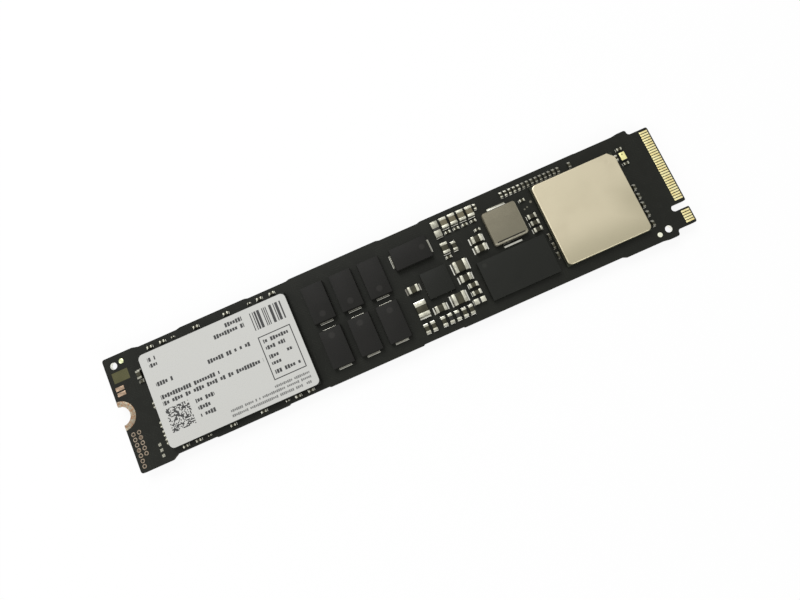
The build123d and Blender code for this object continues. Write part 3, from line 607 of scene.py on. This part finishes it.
def wear(piece, slotName):
    piece.data.materials.clear()
    piece.data.materials.append(finishes[slotName])


def attach(piece, slotName, *replaced):
    wear(piece, slotName)
    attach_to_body(piece, "root")
    if replaced:
        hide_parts(*replaced)


roundingLook = {
    "weld": 0.002, "flatAngle": 1.0, "segments": 2, "edgeAngle": 35, "smoothAngle": 40,
    "widths": {  # by node
        "upper_contact_fingers": 0.02, "lower_contact_fingers": 0.02,
        "capacitor_terminals": 0.03, "inductor_terminals": 0.04,
        "inductor_core": 0.04, "power_chip": 0.03,
        "crystal_base": 0.03, "crystal_lid": 0.04,
        "large_capacitor_bodies": 0.05, "large_capacitor_ends": 0.09,
        "medium_capacitor_bodies": 0.05, "medium_capacitor_ends": 0.08,
        "small_capacitor_bodies": 0.04, "small_capacitor_ends": 0.06,
        "small_resistor_bodies": 0.03, "small_resistor_ends": 0.04,
        "fuse_bodies": 0.03, "fuse_ends": 0.05,
        "diode_bodies": 0.03, "diode_ends": 0.05,
        "tiny_chip_bodies": 0.03, "tiny_chip_ends": 0.05,
        "mini_chip_bodies": 0.02, "mini_chip_ends": 0.03,
        "lower_chip_bodies": 0.03, "lower_chip_ends": 0.05,
        "upper_memory_left": 0.03, "upper_memory_right": 0.03,
        "lower_memory_left": 0.03, "lower_memory_right": 0.03,
        "upper_buffer_memory": 0.03, "lower_buffer_memory": 0.03,
        **{"hold_up_capacitor_%d" % number: 0.06 for number in range(1, 8)},
        "ground_ring": 0.02, "test_rings": 0.02, "test_pads": 0.02,
        "copper_strip_pads": 0.02, "alignment_dots": 0.02,
    },
}


def mergedCopy(nodeName, pieceName):
    source = nodes[nodeName]
    piece = source.copy()
    piece.data = source.data.copy()
    piece.name = pieceName
    piece.hide_viewport = piece.hide_render = False
    del piece["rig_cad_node"]
    bpy.context.scene.collection.objects.link(piece)
    activate(piece)
    bpy.ops.object.mode_set(mode="EDIT")
    bpy.ops.mesh.select_all(action="SELECT")
    bpy.ops.mesh.remove_doubles(threshold=roundingLook["weld"] * mm)
    bpy.ops.mesh.dissolve_limited(angle_limit=math.radians(roundingLook["flatAngle"]))
    bpy.ops.object.mode_set(mode="OBJECT")
    return piece


def softened(nodeName, pieceName, width):  # the solid with its edges rounded
    piece = mergedCopy(nodeName, pieceName)
    rounding = piece.modifiers.new("rounding", "BEVEL")
    rounding.width = width * mm
    rounding.segments = roundingLook["segments"]
    rounding.limit_method = "ANGLE"
    rounding.angle_limit = math.radians(roundingLook["edgeAngle"])
    bpy.ops.object.modifier_apply(modifier=rounding.name)
    bpy.ops.object.shade_smooth_by_angle(angle=math.radians(roundingLook["smoothAngle"]))
    attach(piece, slotOf[nodeName], nodeName)


def camelName(nodeName):
    first, *rest = nodeName.split("_")
    return first + "".join(word.capitalize() for word in rest)


for nodeName, width in roundingLook["widths"].items():
    softened(nodeName, camelName(nodeName), width)
for nodeName, node in nodes.items():
    wear(node, slotOf[nodeName])
print("edges rounded:", len(roundingLook["widths"]))

jointLook = {
    # shares of the unit joint, and toe heights in percent
    "climbShare": 0.5, "hollow": 0.2, "steps": 4, "toe": 12, "leadToe": 28, "toeSoft": 0.05, "toeSteps": 2,
    "smoothAngle": 50, "nearly": 0.01, "tinyClimb": 0.62,
    # millimetres
    "tinyReach": 0.14, "miniReach": 0.08, "caseReach": 0.22, "caseReachBack": 0.07, "caseClimb": 0.3,
    "leadReachFront": 0.73, "leadReachBack": 0.28, "leadClimb": 0.62, "leadWidth": 3.5, "leadThickness": 0.15,
}
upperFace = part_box("circuit_board")[1].z
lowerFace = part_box("circuit_board")[0].z


def looseBoxes(nodeName):  # box of each separate solid in a node
    mergedCopy(nodeName, "loose")
    bpy.ops.object.mode_set(mode="EDIT")
    bpy.ops.mesh.select_all(action="SELECT")
    bpy.ops.mesh.separate(type="LOOSE")
    bpy.ops.object.mode_set(mode="OBJECT")
    boxes = []
    for part in bpy.context.selected_objects:
        corners = [vertex.co for vertex in part.data.vertices]
        boxes.append((Vector(map(min, *corners)), Vector(map(max, *corners))))
    bpy.ops.object.delete()
    return boxes


def middle(box):
    return (box[0] + box[1]) / 2


def outward(box, carriers):  # the level direction that leads from the nearest carrier to this box
    nearest = min((middle(carrier) for carrier in carriers), key=lambda centre: (centre - middle(box)).length)
    step = middle(box) - nearest
    if abs(step.x) > abs(step.y):
        return Vector((math.copysign(1.0, step.x), 0.0, 0.0))
    return Vector((0.0, math.copysign(1.0, step.y), 0.0))


def selectIn(piece, kind, chosen):  # edges or polygons by their middle, left in edit mode
    bpy.ops.object.mode_set(mode="EDIT")
    bpy.ops.mesh.select_mode(type="EDGE" if kind == "edges" else "FACE")
    bpy.ops.mesh.select_all(action="DESELECT")
    bpy.ops.object.mode_set(mode="OBJECT")
    for part in getattr(piece.data, kind):
        corners = [piece.data.vertices[index].co for index in part.vertices]
        part.select = chosen(sum(corners, Vector()) / len(corners))
    bpy.ops.object.mode_set(mode="EDIT")


def jointMaster(toe):  # unit joint, climbing a wall at x = 0 and running out to x = 1
    share, nearly = jointLook["climbShare"], jointLook["nearly"]
    clearSelection()
    bpy.ops.mesh.primitive_cube_add(size=1.0, location=(share / 2, 0.0, 0.5), scale=(share, 1.0, 1.0))
    master = bpy.context.object
    bpy.ops.object.transform_apply(location=True, rotation=True, scale=True)
    selectIn(master, "edges", lambda spot: spot.x > share - nearly and spot.z > 1.0 - nearly)
    bpy.ops.mesh.bevel(offset_type="PERCENT", offset_pct=100 - toe, segments=jointLook["steps"],
                       profile=jointLook["hollow"], clamp_overlap=False)
    bpy.ops.object.mode_set(mode="OBJECT")
    selectIn(master, "polygons", lambda spot: spot.x > share - nearly)
    bpy.ops.mesh.extrude_region_move(TRANSFORM_OT_translate={"value": (1.0 - share, 0.0, 0.0)})
    bpy.ops.object.mode_set(mode="OBJECT")
    selectIn(master, "edges", lambda spot: spot.x > 1.0 - nearly and spot.z > nearly and abs(spot.y) < nearly)
    bpy.ops.mesh.bevel(offset=jointLook["toeSoft"], segments=jointLook["toeSteps"])
    bpy.ops.object.mode_set(mode="OBJECT")
    bpy.ops.object.shade_smooth_by_angle(angle=math.radians(jointLook["smoothAngle"]))
    return master


def solderRun(name, places, toe, *replaced):  # places: wall point, direction, reach, width and climb
    master = jointMaster(toe)
    copies = []
    for wall, direction, reach, width, climb in places:
        joint = master.copy()
        joint.data = master.data.copy()
        bpy.context.scene.collection.objects.link(joint)
        joint.location = wall
        joint.rotation_euler = (0.0 if climb > 0 else math.pi, 0.0, math.atan2(direction.y, direction.x))
        joint.scale = (reach, width, abs(climb))
        copies.append(joint)
    activate(master)
    bpy.ops.object.delete()
    for joint in copies:
        joint.select_set(True)
    bpy.context.view_layer.objects.active = copies[0]
    bpy.ops.object.transform_apply(location=True, rotation=True, scale=True)
    bpy.ops.object.join()
    copies[0].name = name
    attach(copies[0], "solder", *replaced)


# side 1 starts at the far wall of the box, -1 at its near one
def jointPlace(box, direction, level, side, reach, climb):
    size = box[1] - box[0]
    length, width = (size.x, size.y) if direction.x else (size.y, size.x)
    wall = middle(box) + direction * (side * length / 2)
    return Vector((wall.x, wall.y, level)), direction, reach or length, width, climb


capKinds = ("large_capacitor", "medium_capacitor", "small_capacitor", "small_resistor")
capEnds = [box for kind in capKinds for box in looseBoxes(kind + "_ends")]
wedges = [jointPlace(box, outward(box, capEnds), upperFace, -1, None, box[1].z - box[0].z)
          for box in looseBoxes("solder_fillets")]
solderRun("chipSolder", wedges, jointLook["toe"], "solder_fillets")

feet = []
for kind, reach, level, turn in (("tiny_chip", "tinyReach", upperFace, 1), ("mini_chip", "miniReach", upperFace, 1),
                                 ("lower_chip", "tinyReach", lowerFace, -1), ("fuse", "tinyReach", upperFace, 1),
                                 ("diode", "tinyReach", upperFace, 1)):
    bodies = looseBoxes(kind + "_bodies")
    for box in looseBoxes(kind + "_ends"):
        climb = turn * (box[1].z - box[0].z) * jointLook["tinyClimb"]
        feet.append(jointPlace(box, outward(box, bodies), level, 1, jointLook[reach] * mm, climb))
solderRun("tinySolder", feet, jointLook["toe"])

cases = [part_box("hold_up_capacitor_%d" % number) for number in range(1, 8)]
tabs = []
for box in looseBoxes("capacitor_terminals"):
    direction = outward(box, cases)
    reach = jointLook["caseReachBack" if direction.y > 0 else "caseReach"] * mm
    tabs.append(jointPlace(box, direction, upperFace, 1, reach, jointLook["caseClimb"] * mm))
solderRun("caseSolder", tabs, jointLook["toe"])

# the joints that run up the two inductor terminals, over their toes
coreLow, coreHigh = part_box("inductor_core")
leadMiddle = middle(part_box("inductor_terminals")).x
leads = []
for edge, turn, reach in ((coreLow.y, -1.0, "leadReachFront"), (coreHigh.y, 1.0, "leadReachBack")):
    wall = Vector((leadMiddle, edge + turn * jointLook["leadThickness"] * mm, upperFace))
    sizes = (jointLook[name] * mm for name in (reach, "leadWidth", "leadClimb"))
    leads.append((wall, Vector((0.0, turn, 0.0)), *sizes))
solderRun("inductorSolder", leads, jointLook["leadToe"])
print("solder joints:", len(wedges) + len(feet) + len(tabs) + len(leads))

stageLook = {"white": (1.0, 1.0, 1.0, 1.0), "floor": (0.96, 0.96, 0.96, 1.0), "floorRough": 0.9, "floorSize": 3.0,
             "floorDrop": 0.02, "ambient": 0.36, "glow": 0.9, "near": 0.1, "far": 0.35}


def seenDirectly(tap):  # by the camera, or in a mirror or glass
    camera, glossy, through = (tap.add("ShaderNodeLightPath", output="Is %s Ray" % kind)
                               for kind in ("Camera", "Glossy", "Transmission"))
    return camera.larger(glossy).larger(through)


def floorFinish():
    material = bpy.data.materials.new("paleFloor")
    material.use_nodes = True
    tree = material.node_tree
    tap = Tap(tree)
    shader = tree.nodes["Principled BSDF"]
    shader.inputs["Base Color"].default_value = stageLook["floor"]
    shader.inputs["Roughness"].default_value = stageLook["floorRough"]
    shader.inputs["Specular IOR Level"].default_value = 0.0
    glow = tap.add("ShaderNodeEmission", {}, {"Color": stageLook["white"], "Strength": 1.0})
    place = tap.add("ShaderNodeTexCoord", output="Object")
    reach = tap.add("ShaderNodeVectorMath", {"operation": "LENGTH"}, {0: place}, "Value")
    share = reach.spread(stageLook["near"], stageLook["far"], stageLook["glow"], 1.0)  # far floor is plain white
    both = tap.add("ShaderNodeMixShader", {}, {0: seenDirectly(tap) * share, 1: Tap(tree, shader.outputs[0]), 2: glow})
    tree.links.new(both.socket, tree.nodes["Material Output"].inputs[0])
    return material


clearSelection()
bpy.ops.mesh.primitive_plane_add(size=stageLook["floorSize"], location=(0, 0, cadLow.z - stageLook["floorDrop"] * mm))
floor = bpy.context.object
floor.name = "floor"
floor.data.materials.append(floorFinish())

world = bpy.data.worlds.new("studio")
bpy.context.scene.world = world
world.use_nodes = True
background = world.node_tree.nodes["Background"]
background.inputs["Color"].default_value = stageLook["white"]
strength = seenDirectly(Tap(world.node_tree)) * (1.0 - stageLook["ambient"]) + stageLook["ambient"]
world.node_tree.links.new(strength.socket, background.inputs["Strength"])

lampLook = {
    "keySoftbox": {"place": (-0.06, 0.34, 0.4), "aim": (0.0, 0.0, 0.0), "size": 0.3, "watts": 1.6},
    "sideSoftbox": {"place": (-0.46, -0.08, 0.32), "aim": (-0.02, 0.0, 0.0), "size": 0.3, "watts": 0.85},
    "frontSoftbox": {"place": (0.14, -0.46, 0.3), "aim": (0.0, 0.0, 0.0), "size": 0.3, "watts": 0.85},
}
for name, look in lampLook.items():
    light = bpy.data.lights.new(name, "AREA")
    light.size = look["size"]
    light.energy = look["watts"]
    lamp = bpy.data.objects.new(name, light)
    bpy.context.scene.collection.objects.link(lamp)
    lamp.location = look["place"]
    lamp.rotation_euler = (Vector(look["aim"]) - Vector(look["place"])).to_track_quat("-Z", "Y").to_euler()

cameraLook = {"place": (-0.00165798, -0.01551510, 0.10261735), "turn": (7.78006662, 2.559944, -23.76854945),
              "lens": 25.0725297, "sensor": 36.0, "nearest": 0.005, "farthest": 10.0}
lens = bpy.data.cameras.new("camera")
lens.lens = cameraLook["lens"]
lens.sensor_width = cameraLook["sensor"]
lens.clip_start = cameraLook["nearest"]
lens.clip_end = cameraLook["farthest"]
camera = bpy.data.objects.new("camera", lens)
bpy.context.scene.collection.objects.link(camera)
camera.location = cameraLook["place"]
camera.rotation_euler = [math.radians(angle) for angle in cameraLook["turn"]]
bpy.context.scene.camera = camera
bpy.context.scene.view_settings.view_transform = "Standard"
print("stage, lamps and camera set")
